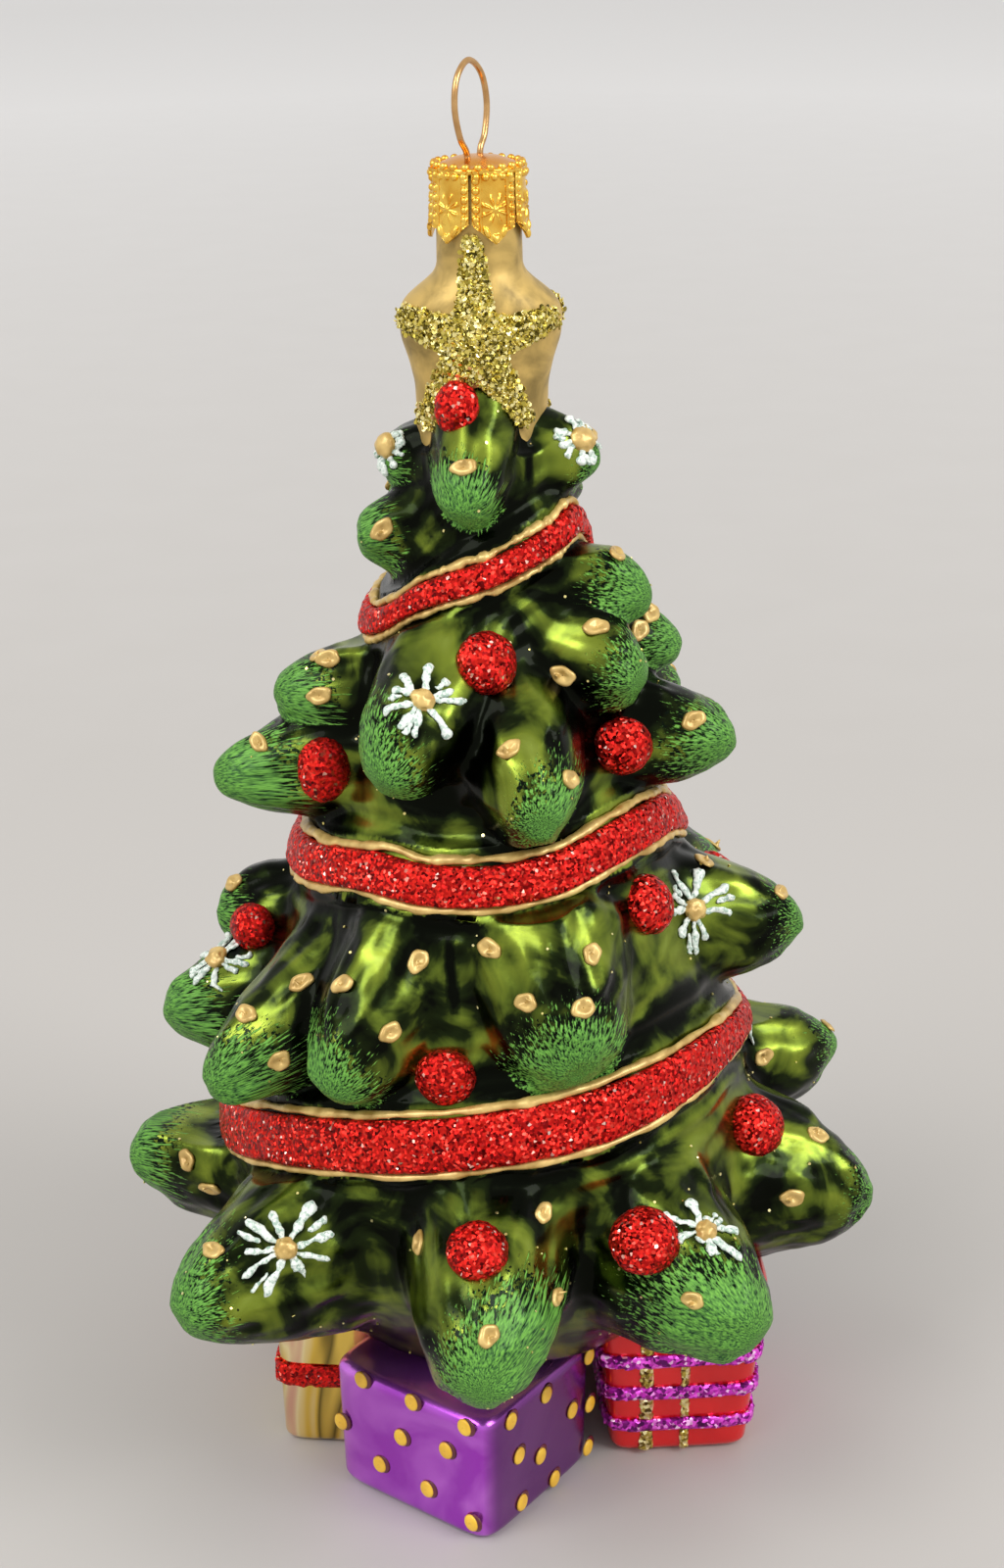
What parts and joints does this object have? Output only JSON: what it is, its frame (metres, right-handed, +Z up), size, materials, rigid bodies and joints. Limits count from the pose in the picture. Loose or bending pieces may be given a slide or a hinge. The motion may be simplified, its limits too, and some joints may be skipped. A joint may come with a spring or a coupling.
{
  "type": "christmas tree ornament",
  "caption": "Hollow glass tree ornament with moulded branches, star and gifts, glitter garlands, and a petal cap with a wire hanging loop.",
  "frame": {"origin": "on the floor plane under the neck's axis, at the middle of the footprint", "axes": "+Z up along the neck; the star faces -Y; +X is to the right seen from the front"},
  "size_m": [0.0911, 0.0948, 0.1649],
  "materials": {
    "lacquered_glass": "silvered inside and lacquered green outside, with gold, violet, red and mirror-gold zones",
    "cap_metal": "stamped and gold-coloured",
    "hanger_metal": "bright drawn wire",
    "gold_glitter": "coarse gold glitter in clear varnish",
    "red_glitter": "fine red glitter in clear varnish",
    "gold_paint": "raised gold enamel paint",
    "white_glitter": "white enamel strokes with fine glitter",
    "magenta_glitter": "magenta glitter in clear varnish"
  },
  "bodies": {
    "glass": {"glass_shell": "lacquered_glass", "star_glitter_front": "gold_glitter", "star_glitter_back": "gold_glitter", "garland_1": "red_glitter", "piping_upper_1": "gold_paint", "piping_lower_1": "gold_paint", "garland_2": "red_glitter", "piping_upper_2": "gold_paint", "piping_lower_2": "gold_paint", "garland_3": "red_glitter", "piping_upper_3": "gold_paint", "piping_lower_3": "gold_paint", "bauble_1": "red_glitter", "bauble_2": "red_glitter", "bauble_3": "red_glitter", "bauble_4": "red_glitter", "bauble_5": "red_glitter", "bauble_6": "red_glitter", "bauble_7": "red_glitter", "bauble_8": "red_glitter", "bauble_9": "red_glitter", "bauble_10": "red_glitter", "bauble_11": "red_glitter", "bauble_12": "red_glitter", "bauble_13": "red_glitter", "bauble_14": "red_glitter", "bauble_15": "red_glitter", "bauble_16": "red_glitter", "snowflake_1": "white_glitter", "snowflake_2": "white_glitter", "snowflake_3": "white_glitter", "snowflake_4": "white_glitter", "snowflake_5": "white_glitter", "snowflake_6": "white_glitter", "snowflake_7": "white_glitter", "snowflake_8": "white_glitter", "snowflake_9": "white_glitter", "plaid_ribbons": "magenta_glitter", "gold_gift_ribbon": "red_glitter", "back_left_gift_ribbon": "red_glitter", "back_right_gift_ribbon": "red_glitter"},
    "cap": {"crown_cap": "cap_metal"},
    "hanger": {"hanger_wire": "hanger_metal"}
  },
  "joints": [
    {"name": "cap_lift", "type": "slide", "parent": "glass", "child": "cap", "axis": [0, 0, 1], "range_m": [0, 0.016]},
    {"name": "hanger_tilt", "type": "hinge", "parent": "cap", "child": "hanger", "pos_m": [-0.0004, 0, 0.1548], "axis": [0.454, 0.891, 0], "range_deg": [-8, 8]}
  ]
}
